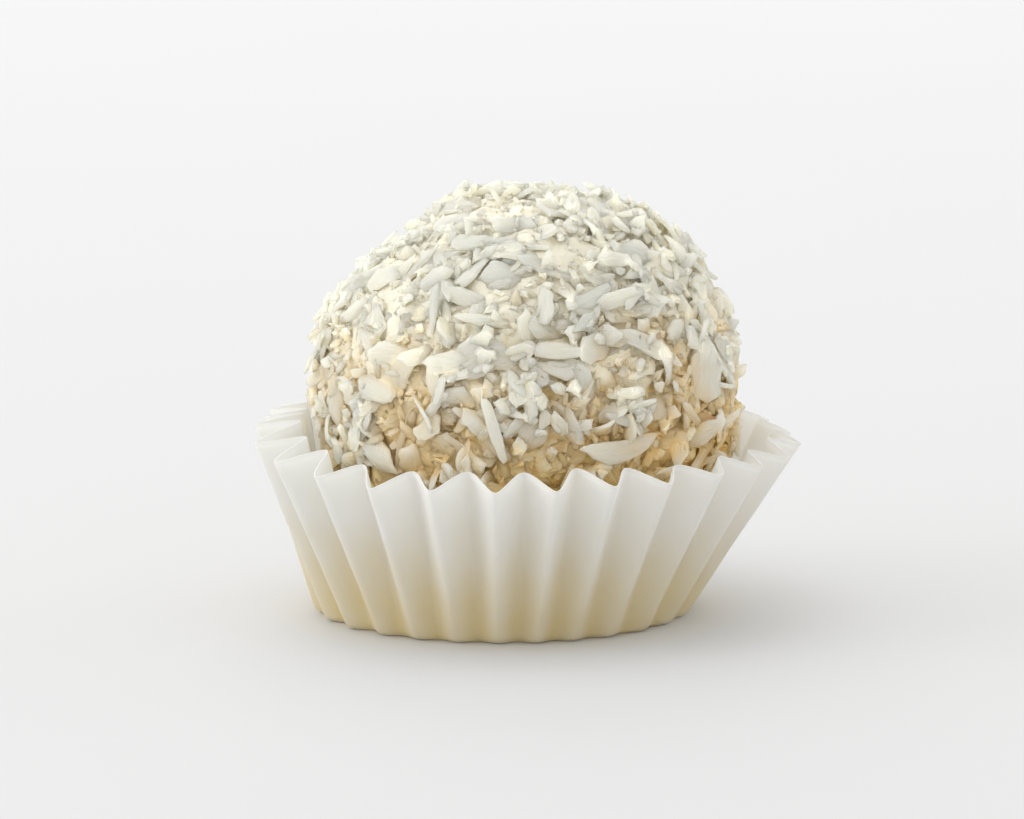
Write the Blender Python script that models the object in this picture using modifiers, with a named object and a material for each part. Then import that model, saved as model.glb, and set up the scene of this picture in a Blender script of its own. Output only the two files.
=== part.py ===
"""A coconut praline in its fluted paper case, at real size, in metres with +Z up.

The origin is the middle of the case's flat base, on the surface that it stands on.
+X is to the right and +Y is away from someone who looks at the front.
The case is a turned cup whose wall is then pleated and flared by formula. The praline
is a slightly uneven ball with chips of coconut fused to it.
"""

import math
import random

import bmesh
import bpy
from mathutils import Matrix, Vector

MM = 0.001

# Paper case: a disc of paper pressed into a cup, so its wall is as long wherever it flares.
BASE_RADIUS = 12.75 * MM
FLAT_RADIUS = 10.8 * MM
WALL_LENGTH = 13.8 * MM
PAPER_THICKNESS = 0.25 * MM
FLUTES = 28
STEPS_PER_FLUTE = 4
FLUTE_TURN = math.radians(2.4)
WALL_BANDS = 3
BASE_PLEAT = 0.35 * MM
PLEAT_ANGLE = math.radians(4.5)
OPEN_FLARE = math.radians(27.0)
PRESSED_IN = math.radians(16.5)
PRESSED_AT = math.radians(180.0)
PRESSED_WIDTH = math.radians(38.0)
PULLED_OUT = math.radians(3.5)
PULLED_FLAT = 0.55
PULLED_AT = math.radians(12.0)
PULLED_WIDTH = math.radians(32.0)
MERGE_DISTANCE = 0.01 * MM
PAPER_COLOUR = (0.80, 0.79, 0.74)
PAPER_ROUGHNESS = 0.75

# Slow waves round the case: each one's height, how many of it go round, and where it starts.
PITCH_WAVES = ((-0.005, 7, 2.3), (0.026, 3, 1.1))
DEPTH_WAVES = ((0.14, 2, 0.6), (0.10, 5, 2.0))
DEEPEST_PLEAT = 1.0 + sum(height for height, count, start in DEPTH_WAVES)

# Praline: a ball that lies a little to the right of the middle of its case, on its flattened underside.
CORE_RADIUS = 13.5 * MM
CORE_CENTRE = Vector((1.3 * MM, 0.0, 15.0 * MM))
CORE_SUBDIVISIONS = 3
CORE_ROUGHNESS = 0.30 * MM
CORE_SEED = 5
CLEARANCE = 0.3 * MM
UNDERSIDE = PAPER_THICKNESS + CLEARANCE
COCONUT_COLOUR = (0.78, 0.72, 0.58)
COCONUT_ROUGHNESS = 0.6

# Lumps of the ball: direction, height, and how narrow the lump is.
LUMPS = (
    ((0.64, -0.10, 0.76), 0.75 * MM, 5.0),
    ((0.66, 0.13, 0.74), 0.40 * MM, 25.0),
    ((0.10, 0.17, 0.98), -0.55 * MM, 12.0),
    ((-0.34, 0.16, 0.93), 1.00 * MM, 50.0),
    ((-0.62, 0.14, 0.77), -0.80 * MM, 10.0),
    ((-0.88, 0.08, 0.45), 0.40 * MM, 15.0),
    ((-0.55, -0.20, 0.80), -0.30 * MM, 5.0),
    ((0.95, 0.25, -0.10), 0.30 * MM, 4.0),
    ((-0.15, -0.95, 0.10), 0.30 * MM, 6.0),
    ((-0.20, 0.90, 0.40), 0.45 * MM, 5.0),
    ((0.00, 0.00, -1.00), 1.20 * MM, 5.0),
)

# Coconut chips: thin, curled, tapered at their ends, and rooted in the ball.
CHIP_SEED = 11
CHIP_LENGTH = (2.6 * MM, 4.8 * MM)
CHIP_WIDTH = (1.3 * MM, 2.4 * MM)
CHIP_SLIMNESS = 0.75
CHIP_THICKNESS = (0.50 * MM, 0.80 * MM)
CHIP_TAPER = (0.10, 0.50)
CHIP_SKEW = 0.22
CHIP_CURL = (0.0 * MM, 0.40 * MM)
CHIP_TWIST = math.radians(14.0)
CHIP_LEVEL = (0.20 * MM, 0.90 * MM)
CHIP_TILT = math.radians(15.0)
STEEPEST_TILT = math.radians(38.0)
TRIED_TILT_SHARES = (1.0, 0.5, 0.0)
CHIP_REACH = 1.9 * MM
CHIP_ROOT = 0.35 * MM
CHIP_STATIONS = (-1.0, 0.0, 1.0)

# The chips round the ball follow a spiral from its top down to where it nears the paper.
SPIRAL_CHIPS = 210
SPIRAL_END = -0.72
SPIRAL_SCATTER = 0.09
GOLDEN_TURN = math.pi * (3.0 - math.sqrt(5.0))
CHIP_SPACING = 0.14

# The chips at the front, seen from 10 degrees above it: to the right of the ball's middle and up
# from it, the turn from level, length and width, in millimetres and degrees. They lie on top of
# the others.
FRONT_RISE = 0.3 * MM
FRONT_ELEVATION = math.radians(10.0)
FRONT_CHIPS = (
    (-9.9, 0.4, -15, 3.7, 1.8),
    (-6.8, 2.7, 25, 3.1, 1.3),
    (-2.7, 2.5, 20, 3.7, 3.0),
    (-10.7, 4.0, -38, 3.1, 1.3),
    (-4.5, -0.3, -10, 3.0, 1.6),
    (-1.2, -1.2, 38, 3.3, 1.4),
    (-3.1, -1.8, -40, 2.3, 1.4),
    (-1.9, -3.6, -60, 2.6, 1.6),
    (-6.2, -2.2, 30, 2.1, 1.4),
    (-9.5, -4.0, -50, 2.8, 1.9),
    (-12.7, -0.9, -60, 2.8, 1.6),
    (6.6, -3.5, 3, 5.9, 1.5),
    (3.3, -2.1, -65, 2.6, 1.1),
    (2.3, 2.9, 0, 3.2, 1.2),
    (4.8, 3.2, 20, 2.6, 1.9),
    (3.9, 0.6, -70, 2.8, 1.6),
    (9.1, -0.5, -50, 2.8, 2.1),
    (12.2, 1.4, 60, 4.0, 3.0),
    (12.2, -2.4, 8, 4.0, 1.4),
    (9.7, 2.0, -80, 2.6, 1.9),
    (7.9, 5.9, 15, 3.7, 2.1),
    (4.6, 6.4, 35, 3.5, 1.4),
    (7.4, 9.4, 0, 2.3, 1.9),
    (9.6, 10.4, -50, 4.0, 2.6),
    (12.0, 7.3, -60, 3.0, 2.1),
    (5.6, 12.4, 70, 3.0, 2.6),
    (1.0, 10.9, 8, 3.3, 1.4),
    (3.5, 5.0, 15, 2.6, 1.2),
    (1.5, 5.9, 85, 2.8, 1.2),
    (-5.0, 12.2, 60, 3.0, 2.3),
    (-3.3, 10.4, -18, 3.3, 1.3),
    (-5.8, 7.9, 5, 2.6, 1.3),
    (-9.6, 8.1, -15, 3.0, 1.6),
    (-3.8, 6.5, -40, 2.8, 1.6),
    (-7.7, 5.4, -20, 2.6, 1.4),
    (-5.8, 9.8, -5, 3.0, 1.9),
    (-1.5, 8.1, 10, 2.8, 2.1),
    (0.5, 1.3, -25, 2.8, 1.6),
    (0.7, -2.7, 60, 2.3, 1.9),
)


def clear_scene():
    for obj in list(bpy.data.objects):
        bpy.data.objects.remove(obj, do_unlink=True)


def new_collection(name):
    made = bpy.data.collections.new(name)
    bpy.context.scene.collection.children.link(made)
    return made


def new_material(name, colour, roughness):
    made = bpy.data.materials.new(name)
    made.use_nodes = True
    shader = made.node_tree.nodes["Principled BSDF"]
    shader.inputs["Base Color"].default_value = (*colour, 1.0)
    shader.inputs["Roughness"].default_value = roughness
    shader.inputs["Metallic"].default_value = 0.0
    return made


def applied(obj, collection, name):
    """Makes a mesh object of what obj is with its modifiers, and removes obj."""
    evaluated = obj.evaluated_get(bpy.context.evaluated_depsgraph_get())
    mesh = bpy.data.meshes.new_from_object(evaluated)
    mesh.name = name
    bpy.data.objects.remove(obj, do_unlink=True)
    made = bpy.data.objects.new(name, mesh)
    collection.objects.link(made)
    return made


# ---- Paper case ----


def nearness(angle, place, width):
    """1 at a place round the case, and less the further an angle is from it."""
    return math.exp(-((math.remainder(angle - place, 2 * math.pi) / width) ** 2))


def pulled(angle):
    """How much of the pull that opens the case out, on its right, there is at this angle."""
    return nearness(angle, PULLED_AT, PULLED_WIDTH)


def flare(angle):
    """How far the wall leans out: it is pressed upright on the left and pulled out on the right."""
    pressed = PRESSED_IN * nearness(angle, PRESSED_AT, PRESSED_WIDTH)
    return OPEN_FLARE + PULLED_OUT * pulled(angle) - pressed


def slow_waves(angle, rows):
    """The sum of waves that go round the case a few times each."""
    return sum(height * math.sin(count * angle + start) for height, count, start in rows)


def spread(angle):
    """Where a pleat really stands: the pleats are wide in places and narrow in others."""
    return angle - FLUTE_TURN + slow_waves(angle, PITCH_WAVES)


def pleat(angle):
    """The pleats' wave: about 1 on an outer fold and -1 on an inner one, and flatter where pulled."""
    depth = 1.0 + slow_waves(angle, DEPTH_WAVES) - PULLED_FLAT * pulled(angle)
    return depth * math.cos(FLUTES * angle)


def wall_point(angle, along):
    """A point on the wall's outer face: along is the length of paper from the base's edge."""
    wave = pleat(angle)
    lean = flare(angle) + PLEAT_ANGLE * wave
    radius = BASE_RADIUS + BASE_PLEAT * wave + along * math.sin(lean)
    placed = spread(angle)
    return Vector((radius * math.cos(placed), radius * math.sin(placed), along * math.cos(lean)))


def plain_cup(collection):
    """The cup before pleating, a straight wall on a flat base, as a profile turned about Z."""
    mesh = bpy.data.meshes.new("cup_profile")
    bands = [WALL_LENGTH * (1 - band / WALL_BANDS) for band in range(WALL_BANDS)]
    profile = [(BASE_RADIUS, 0.0, height) for height in bands]
    profile += [(BASE_RADIUS, 0.0, 0.0), (FLAT_RADIUS, 0.0, 0.0), (0.0, 0.0, 0.0)]
    mesh.from_pydata(profile, [(i, i + 1) for i in range(len(profile) - 1)], [])
    cup = bpy.data.objects.new("cup_profile", mesh)
    collection.objects.link(cup)
    turned = cup.modifiers.new("Turn", "SCREW")
    turned.steps = FLUTES * STEPS_PER_FLUTE
    turned.render_steps = turned.steps
    turned.use_merge_vertices = True
    turned.merge_threshold = MERGE_DISTANCE
    return cup


def make_paper_case(collection, guides):
    case = applied(plain_cup(guides), collection, "paper_case")
    for vertex in case.data.vertices:
        x, y, z = vertex.co
        if math.hypot(x, y) > FLAT_RADIUS + MERGE_DISTANCE:
            vertex.co = wall_point(math.atan2(y, x), z)
    paper = case.modifiers.new("Paper", "SOLIDIFY")
    paper.thickness = PAPER_THICKNESS
    paper.offset = -1.0
    case.data.shade_flat()
    case.data.materials.append(new_material("paper", PAPER_COLOUR, PAPER_ROUGHNESS))


def room_in_case(point):
    """How far a point is from the paper, within the case's inner folds and over its base."""
    angle = math.atan2(point.y, point.x)
    lean = flare(angle) - PLEAT_ANGLE * DEEPEST_PLEAT
    over_base = point.z - PAPER_THICKNESS
    if point.z > WALL_LENGTH * math.cos(lean) + CLEARANCE:
        return over_base
    fold_radius = BASE_RADIUS - BASE_PLEAT * DEEPEST_PLEAT + point.z * math.tan(lean)
    inner_radius = fold_radius - PAPER_THICKNESS / math.cos(lean)
    return min(inner_radius - math.hypot(point.x, point.y), over_base)


# ---- Praline ----


def core_radius(direction):
    """The ball's radius that way, with its lumps."""
    radius = CORE_RADIUS
    for axis, height, narrowness in LUMPS:
        closeness = direction.dot(Vector(axis).normalized())
        radius += height * math.exp(narrowness * (closeness - 1.0))
    return radius


def make_core(collection, draw):
    """The ball under the chips: lumpy, rough, and pressed flat where it rests on the paper."""
    shape = bmesh.new()
    bmesh.ops.create_icosphere(shape, subdivisions=CORE_SUBDIVISIONS, radius=1.0)
    for vertex in shape.verts:
        direction = vertex.co.normalized()
        radius = core_radius(direction) + draw.uniform(-CORE_ROUGHNESS, CORE_ROUGHNESS)
        vertex.co = CORE_CENTRE + direction * radius
        vertex.co.z = max(vertex.co.z, UNDERSIDE)
    mesh = bpy.data.meshes.new("core")
    shape.to_mesh(mesh)
    shape.free()
    core = bpy.data.objects.new("core", mesh)
    collection.objects.link(core)
    return core


def front_direction(right, up):
    """The way from the ball's middle to a point of its front, seen from a little above."""
    x = right * MM / (CORE_RADIUS + CHIP_LEVEL[1])
    z = up * MM / (CORE_RADIUS + CHIP_LEVEL[1])
    y = -math.sqrt(max(1.0 - x * x - z * z, 0.0))
    return Matrix.Rotation(-FRONT_ELEVATION, 3, "X") @ Vector((x, y, z))


def front_heading(turn):
    """The way a chip at the front points, turned from level."""
    angle = math.radians(turn)
    return Matrix.Rotation(-FRONT_ELEVATION, 3, "X") @ Vector((math.cos(angle), 0.0, math.sin(angle)))


def spiral_direction(index, draw):
    """Directions spread evenly over the ball, from its top downwards, and a little scattered."""
    height = 1.0 + (SPIRAL_END - 1.0) * (index + 0.5) / SPIRAL_CHIPS
    ring = math.sqrt(1.0 - height * height)
    turn = GOLDEN_TURN * index
    even = Vector((ring * math.cos(turn), ring * math.sin(turn), height))
    return (even + SPIRAL_SCATTER * random_vector(draw)).normalized()


def random_vector(draw):
    return Vector((draw.gauss(0.0, 1.0), draw.gauss(0.0, 1.0), draw.gauss(0.0, 1.0)))


def draw_chip(direction, heading, length, width, draw):
    """One chip: where it is, how long and wide it is, and its own uneven shape."""
    return {
        "direction": direction,
        "heading": heading,
        "length": length,
        "width": width,
        "thickness": draw.uniform(*CHIP_THICKNESS),
        "taper": (draw.uniform(*CHIP_TAPER), draw.uniform(*CHIP_TAPER)),
        "skew": draw.uniform(-CHIP_SKEW, CHIP_SKEW),
        "curl": draw.uniform(*CHIP_CURL),
        "twist": draw.gauss(0.0, CHIP_TWIST),
        "tilt": max(-STEEPEST_TILT, min(draw.gauss(0.0, CHIP_TILT), STEEPEST_TILT)),
        "roll": draw.gauss(0.0, CHIP_TILT),
        "level": draw.uniform(*CHIP_LEVEL),
    }


def all_chips(draw):
    """The chips at the front, and then those of the spiral that keep their distance from them."""
    chips = []
    for right, up, turn, length, width in FRONT_CHIPS:
        direction = front_direction(right, up)
        chip = draw_chip(direction, front_heading(turn), length * MM, width * MM, draw)
        chip["level"] += FRONT_RISE
        chips.append(chip)
    placed = [chip["direction"] for chip in chips]
    for index in range(SPIRAL_CHIPS):
        direction = spiral_direction(index, draw)
        length = draw.uniform(*CHIP_LENGTH)
        width = min(draw.uniform(*CHIP_WIDTH), CHIP_SLIMNESS * length)
        chip = draw_chip(direction, random_vector(draw), length, width, draw)
        if all((direction - other).length > CHIP_SPACING for other in placed):
            chips.append(chip)
    return chips


def chip_point(chip, along, across, up):
    """A point of a chip in its own frame, in which along, across and up run from -1 to 1."""
    taper = chip["taper"][0] if along < 0 else chip["taper"][1]
    half_width = 0.5 * chip["width"] * (1.0 - taper * along * along)
    x = 0.5 * chip["length"] * (along + chip["skew"] * across)
    y = half_width * across
    z = 0.5 * chip["thickness"] * up - chip["curl"] * along * along
    turned = Matrix.Rotation(chip["twist"] * along, 3, "X")
    return turned @ Vector((x, y, z))


def chip_turn(chip, tilt_share):
    """Lays a chip along its heading on the ball, then tilts and rolls it."""
    outward = chip["direction"]
    side = outward.cross(chip["heading"]).normalized()
    onto_ball = Matrix((side.cross(outward), side, outward)).transposed()
    tilt = Matrix.Rotation(chip["tilt"] * tilt_share, 3, "Y")
    roll = Matrix.Rotation(chip["roll"] * tilt_share, 3, "X")
    return onto_ball @ tilt @ roll


def height_over_core(point):
    offset = point - CORE_CENTRE
    return offset.length - core_radius(offset.normalized())


def seat_chip(chip):
    """The turn and place of a chip that keeps clear of the case, or None where it can't."""
    corners = [chip_point(chip, along, across, 1.0) for along in CHIP_STATIONS for across in (-1.0, 1.0)]
    outward = chip["direction"]
    surface = CORE_CENTRE + outward * core_radius(outward)
    for tilt_share in TRIED_TILT_SHARES:
        turn = chip_turn(chip, tilt_share)
        top = max(height_over_core(surface + turn @ corner) for corner in corners)
        place = surface + outward * min(chip["level"], CHIP_REACH - top)
        if min(room_in_case(place + turn @ corner) for corner in corners) > CLEARANCE:
            return turn, place
    return None


def rooted(point):
    """Moves a corner of a chip's underside down into the ball."""
    sink = max(height_over_core(point) + CHIP_ROOT + CORE_ROUGHNESS, 0.0)
    return point + (CORE_CENTRE - point).normalized() * sink


def add_chip(chip, turn, place, collection):
    """A block cut across its length into bays, and bent to the chip's shape over its root."""
    shape = bmesh.new()
    bmesh.ops.create_cube(shape, size=2.0)
    long_edges = [
        edge for edge in shape.edges if abs(edge.verts[0].co.x - edge.verts[1].co.x) > 1.0
    ]
    bmesh.ops.subdivide_edges(shape, edges=long_edges, cuts=len(CHIP_STATIONS) - 2)
    for vertex in shape.verts:
        underside = vertex.co.z < 0
        point = place + turn @ chip_point(chip, *vertex.co)
        vertex.co = rooted(point) if underside else point
    bmesh.ops.triangulate(shape, faces=shape.faces)
    bmesh.ops.recalc_face_normals(shape, faces=shape.faces)
    mesh = bpy.data.meshes.new("chip")
    shape.to_mesh(mesh)
    shape.free()
    collection.objects.link(bpy.data.objects.new("chip", mesh))


def connected_shells(shape):
    """The separate closed shells of a mesh, each as a set of its corners."""
    left = set(shape.verts)
    shells = []
    while left:
        shell = set()
        waiting = [left.pop()]
        while waiting:
            vertex = waiting.pop()
            shell.add(vertex)
            beside = {edge.other_vert(vertex) for edge in vertex.link_edges} & left
            left -= beside
            waiting.extend(beside)
        shells.append(shell)
    return shells


def keep_outer_body(obj):
    """Fills the hollows that fusing sealed and drops loose scraps: only the largest shell stays."""
    shape = bmesh.new()
    shape.from_mesh(obj.data)
    shells = connected_shells(shape)
    outer = max(shells, key=len)
    spare = [vertex for shell in shells if shell is not outer for vertex in shell]
    bmesh.ops.delete(shape, geom=spare, context="VERTS")
    shape.to_mesh(obj.data)
    shape.free()


def make_praline(collection, guides):
    core = make_core(guides, random.Random(CORE_SEED))
    fused = new_collection("chips")
    for chip in all_chips(random.Random(CHIP_SEED)):
        seat = seat_chip(chip)
        if seat:
            add_chip(chip, *seat, fused)
    union = core.modifiers.new("Fuse", "BOOLEAN")
    union.operation = "UNION"
    union.operand_type = "COLLECTION"
    union.collection = fused
    praline = applied(core, collection, "praline")
    for obj in list(fused.objects):
        bpy.data.objects.remove(obj, do_unlink=True)
    bpy.data.collections.remove(fused)
    keep_outer_body(praline)
    praline.data.materials.clear()
    praline.data.materials.append(new_material("coconut", COCONUT_COLOUR, COCONUT_ROUGHNESS))


def main():
    clear_scene()
    collection = new_collection("coconut_praline")
    guides = new_collection("guides")
    make_paper_case(collection, guides)
    make_praline(collection, guides)
    bpy.data.collections.remove(guides)


main()
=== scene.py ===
# %% [markdown]
# # A coconut praline in its paper case
#
# The real thing is a round sweet, about 30 mm across, rolled in flakes of dried coconut while its
# coating is still soft, and set in a fluted case of thin white paper.
# The solid model gives its size and its place, and this lesson dresses it: paper that lets a
# little light through, a crumbly coating, and flakes that are each a thin piece of their own.
#
# The first cell loads the solid model.

# %% Load the solid model
import math
import random

import bmesh
import bpy
import numpy as np
from mathutils import Matrix, Vector, noise


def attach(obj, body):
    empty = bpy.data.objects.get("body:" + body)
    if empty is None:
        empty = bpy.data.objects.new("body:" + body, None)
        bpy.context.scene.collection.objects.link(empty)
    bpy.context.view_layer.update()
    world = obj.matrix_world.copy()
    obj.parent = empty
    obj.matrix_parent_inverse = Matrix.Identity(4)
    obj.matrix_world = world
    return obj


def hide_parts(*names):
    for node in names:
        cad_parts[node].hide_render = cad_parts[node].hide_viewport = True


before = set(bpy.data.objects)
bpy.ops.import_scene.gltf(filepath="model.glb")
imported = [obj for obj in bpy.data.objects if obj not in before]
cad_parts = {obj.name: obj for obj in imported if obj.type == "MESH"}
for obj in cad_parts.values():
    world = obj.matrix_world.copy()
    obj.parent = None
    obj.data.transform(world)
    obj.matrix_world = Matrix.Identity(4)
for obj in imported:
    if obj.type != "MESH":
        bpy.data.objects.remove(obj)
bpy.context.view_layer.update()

MM = 0.001
BODY = "root"


def mm(*values):
    """Some sizes in millimetres, as metres."""
    return tuple(value * MM for value in values)


# %% [markdown]
# ## Shader maths as Python
#
# A finish is worked out from a few numbers that change over the surface, such as how far up the
# paper a point lies. Blender draws that arithmetic as a web of Math nodes, which soon gets hard
# to read. A small class that stands for a node's output, and adds a Math node for each + or *,
# keeps it as short as the formula would be on paper. All other nodes come from one method, which
# takes the node's type, then its settings, and then what its sockets get.

# %% A wire, and the finish that it belongs to
NOISE_DETAIL = 3.0
MIX_COLOURS = (6, 7)
MIXED_COLOUR = 2


class Wire:
    """The output of a node. Sums and products with it add Math nodes."""

    def __init__(self, finish, socket):
        self.finish = finish
        self.socket = socket

    def maths(self, operation, *values):
        return self.finish.node("ShaderNodeMath", {"operation": operation}, dict(enumerate(values)))

    def __add__(self, other):
        return self.maths("ADD", self, other)

    def __sub__(self, other):
        return self.maths("SUBTRACT", self, other)

    def __rsub__(self, other):
        return self.maths("SUBTRACT", other, self)

    def __mul__(self, other):
        return self.maths("MULTIPLY", self, other)

    __radd__ = __add__
    __rmul__ = __mul__

    def step(self, low, high):
        """0 below low, 1 above high, and a soft step in between."""
        sockets = {"Value": self, "From Min": low, "From Max": high}
        return self.finish.node("ShaderNodeMapRange", {"interpolation_type": "SMOOTHSTEP"}, sockets)


class Finish:
    """A material, and the one way in which nodes are added to it."""

    def __init__(self, name):
        self.material = bpy.data.materials.new(name)
        self.material.use_nodes = True
        self.tree = self.material.node_tree
        self.tree.nodes.clear()

    def node(self, kind, settings=None, inputs=None, output=0):
        made = self.tree.nodes.new(kind)
        for key, value in (settings or {}).items():
            setattr(made, key, value)
        for key, value in (inputs or {}).items():
            if isinstance(value, Wire):
                self.tree.links.new(value.socket, made.inputs[key])
            else:
                made.inputs[key].default_value = value
        return Wire(self, made.outputs[output]) if made.outputs else None

    def attribute(self, name, output="Fac"):
        """A number or a vector that the mesh holds at each of its points."""
        return self.node("ShaderNodeAttribute", {"attribute_name": name}, output=output)

    def place(self):
        """Where a point is in its object's own space, in metres."""
        return self.node("ShaderNodeTexCoord", output="Object")

    def noise(self, coordinates, scale, detail=NOISE_DETAIL):
        """Cloudy values about 0.5, in patches of about 1 / scale."""
        sockets = {"Vector": coordinates, "Scale": scale, "Detail": detail}
        return self.node("ShaderNodeTexNoise", None, sockets)

    def stretched(self, coordinates, factors):
        """Coordinates times a factor along each axis: a small one draws a pattern out that way."""
        return self.node("ShaderNodeVectorMath", {"operation": "MULTIPLY"}, {0: coordinates, 1: factors})

    def blend(self, mask, first, second):
        """The first colour where the mask is 0, and the second where it is 1."""
        sockets = {0: mask, MIX_COLOURS[0]: first, MIX_COLOURS[1]: second}
        return self.node("ShaderNodeMix", {"data_type": "RGBA"}, sockets, output=MIXED_COLOUR)

    def bump(self, height, distance):
        """A bent surface normal, as from hills of that height times the distance."""
        return self.node("ShaderNodeBump", None, {"Height": height, "Distance": distance})

    def light_through(self, surface, share, tint):
        """A surface that lets that share of the light through, scattered and tinted."""
        through = self.node("ShaderNodeBsdfTranslucent", None, {"Color": tint})
        return self.node("ShaderNodeMixShader", None, {0: share, 1: surface, 2: through})

    def show(self, shader):
        self.node("ShaderNodeOutputMaterial", None, {"Surface": shader})
        return self.material


print("a Mix node's colour sockets are its numbers", MIX_COLOURS)

# %% [markdown]
# A colour is given here as a screen shows it, which is how it is compared with a photo. A shader
# counts light instead, in which half as bright to the eye is only a fifth as much. So each colour
# is turned into the shader's kind as soon as it is named.

# %% A colour
def colour(red, green, blue):
    """A colour as a screen shows it, from 0 to 255, turned into the linear one of a shader."""
    linear = [((value / 255 + 0.055) / 1.055) ** 2.4 for value in (red, green, blue)]
    return (*linear, 1.0)


print("a screen grey of 128 is", round(colour(128, 128, 128)[0], 3), "in a shader")

# %% [markdown]
# ## The paper case
#
# The real case starts as a flat disc of greaseproof paper, pressed between two fluted dies. Its
# base stays flat, and its wall folds into twenty-eight pleats. Each fold leans at its own angle,
# and as all of them are as long, the inner folds, which lean less, end higher: that is what gives
# the rim its row of points. This case has also been pressed upright on its left side, and pulled
# out on its right, which has opened its pleats there.
#
# The pleats could be modelled as copies of one pleat, but then they would all be alike. Here a
# plain cup is turned from a profile, and a formula moves each of its points to where the paper
# would lie. It is the formula of the solid, with many more points and rounder folds. Slow waves
# that go round the case a few times make some pleats wider or deeper than others.

# %% Sizes of the case
BASE_RADIUS = 12.75 * MM
FLAT_RADIUS = 10.8 * MM
WALL_LENGTH = 13.8 * MM
SHEET_THICKNESS = 0.10 * MM
FLUTES = 28
STEPS_PER_FLUTE = 20
FLUTE_TURN = math.radians(2.4)
BASE_PLEAT = 0.35 * MM
PLEAT_ANGLE = math.radians(4.5)
OPEN_FLARE = math.radians(27.0)
PRESSED_IN = math.radians(16.5)
PRESSED_AT = math.radians(180.0)
PRESSED_WIDTH = math.radians(38.0)
PULLED_OUT = math.radians(3.5)
PULLED_FLAT = 0.55
PULLED_AT = math.radians(12.0)
PULLED_WIDTH = math.radians(32.0)
PITCH_WAVES = ((-0.005, 7, 2.3), (0.026, 3, 1.1))
DEPTH_WAVES = ((0.14, 2, 0.6), (0.10, 5, 2.0))
DEEPEST_PLEAT = 1.0 + sum(height for height, count, start in DEPTH_WAVES)
INNER_CRISPNESS = 0.55
OUTER_CRISPNESS = 0.85
CORNER = 0.7 * MM
print("width of a pleat at the base, mm:", round(2 * math.pi * BASE_RADIUS / FLUTES / MM, 2))

# %% [markdown]
# How far the wall leans out, and how its folds swing, are formulas of the angle round the case. The
# arcsine of a cosine is a zigzag, and the less of the cosine it gets, the rounder its corners are.

# %% How the folds stand
def nearness(angle, place, width):
    """1 at a place round the case, and less the further an angle is from it."""
    offset = np.remainder(angle - place + np.pi, 2 * np.pi) - np.pi
    return np.exp(-((offset / width) ** 2))


def pulled(angle):
    """How much of the pull that opens the case out, on its right, there is at this angle."""
    return nearness(angle, PULLED_AT, PULLED_WIDTH)


def flare(angle):
    """How far the wall leans out: it is pressed upright on the left and pulled out on the right."""
    pressed = PRESSED_IN * nearness(angle, PRESSED_AT, PRESSED_WIDTH)
    return OPEN_FLARE + PULLED_OUT * pulled(angle) - pressed


def slow_waves(angle, rows):
    """The sum of waves, each with its height, how many of it go round, and where it starts."""
    return sum(height * np.sin(count * angle + start) for height, count, start in rows)


def spread(angle):
    """Where a pleat really stands: they are wide in places and narrow in others."""
    return angle - FLUTE_TURN + slow_waves(angle, PITCH_WAVES)


def pleat(angle):
    """About 1 on an outer fold and -1 on an inner one, each as crisp as its number says."""
    inner, outer = math.asin(INNER_CRISPNESS), math.asin(OUTER_CRISPNESS)
    between = 0.5 * (OUTER_CRISPNESS - INNER_CRISPNESS)
    swing = 0.5 * (OUTER_CRISPNESS + INNER_CRISPNESS)
    fold = np.arcsin(between + swing * np.cos(FLUTES * angle))
    depth = 1.0 + slow_waves(angle, DEPTH_WAVES) - PULLED_FLAT * pulled(angle)
    return depth * (2 * (fold + inner) / (outer + inner) - 1)


leans = [round(math.degrees(flare(angle)), 1) for angle in (PULLED_AT, PRESSED_AT)]
print("the wall leans out by", leans, "degrees, where it is pulled out and where it is pressed in")

# %% [markdown]
# The wall meets the base in a soft corner, since paper can't fold sharply along a curve. Each
# point is described by its angle and by the length of paper from that corner, which is negative
# on the base. Near the corner it slides along a curve that cuts the corner off.

# %% Where the paper lies
def paper_point(angle, length):
    """The outer face of the paper, for arrays of angles and of lengths from the corner."""
    wave = pleat(angle)
    lean = flare(angle) + PLEAT_ANGLE * wave

    def straight(along):
        """The wall above the corner, and the flat base inside it."""
        fading = np.clip(1 + along / (BASE_RADIUS - FLAT_RADIUS), 0, 1)
        radius = BASE_RADIUS + BASE_PLEAT * wave * fading
        radius = radius + along * np.where(along > 0, np.sin(lean), 1.0)
        return radius, np.maximum(along, 0) * np.cos(lean)

    share = np.clip((length + CORNER) / (2 * CORNER), 0, 1)
    radius, height = straight(length)
    ends = (straight(np.full_like(length, side)) for side in (-CORNER, 0.0, CORNER))
    (r0, z0), (r1, z1), (r2, z2) = ends
    in_corner = np.abs(length) < CORNER
    bent_radius = (1 - share) ** 2 * r0 + 2 * share * (1 - share) * r1 + share**2 * r2
    bent_height = (1 - share) ** 2 * z0 + 2 * share * (1 - share) * z1 + share**2 * z2
    radius = np.where(in_corner, bent_radius, radius)
    height = np.where(in_corner, bent_height, height)
    placed = spread(angle)
    return np.stack([radius * np.cos(placed), radius * np.sin(placed), height], axis=1)


right_rim = paper_point(np.zeros(1), np.full(1, WALL_LENGTH))[0]
print("the rim's right edge, mm:", (right_rim / MM).round(1))

# %% [markdown]
# All points of a mesh are read and written at once, since a loop over them would be slow. Every
# piece is made in one way: it rides on the praline's body, it gets its finish, and it says which
# solid it stands for.

# %% Points, numbers and pieces
def read_points(mesh):
    points = np.empty(len(mesh.vertices) * 3)
    mesh.vertices.foreach_get("co", points)
    return points.reshape(-1, 3)


def write_points(mesh, points):
    mesh.vertices.foreach_set("co", np.asarray(points, dtype=np.float32).ravel())
    mesh.update()


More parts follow.
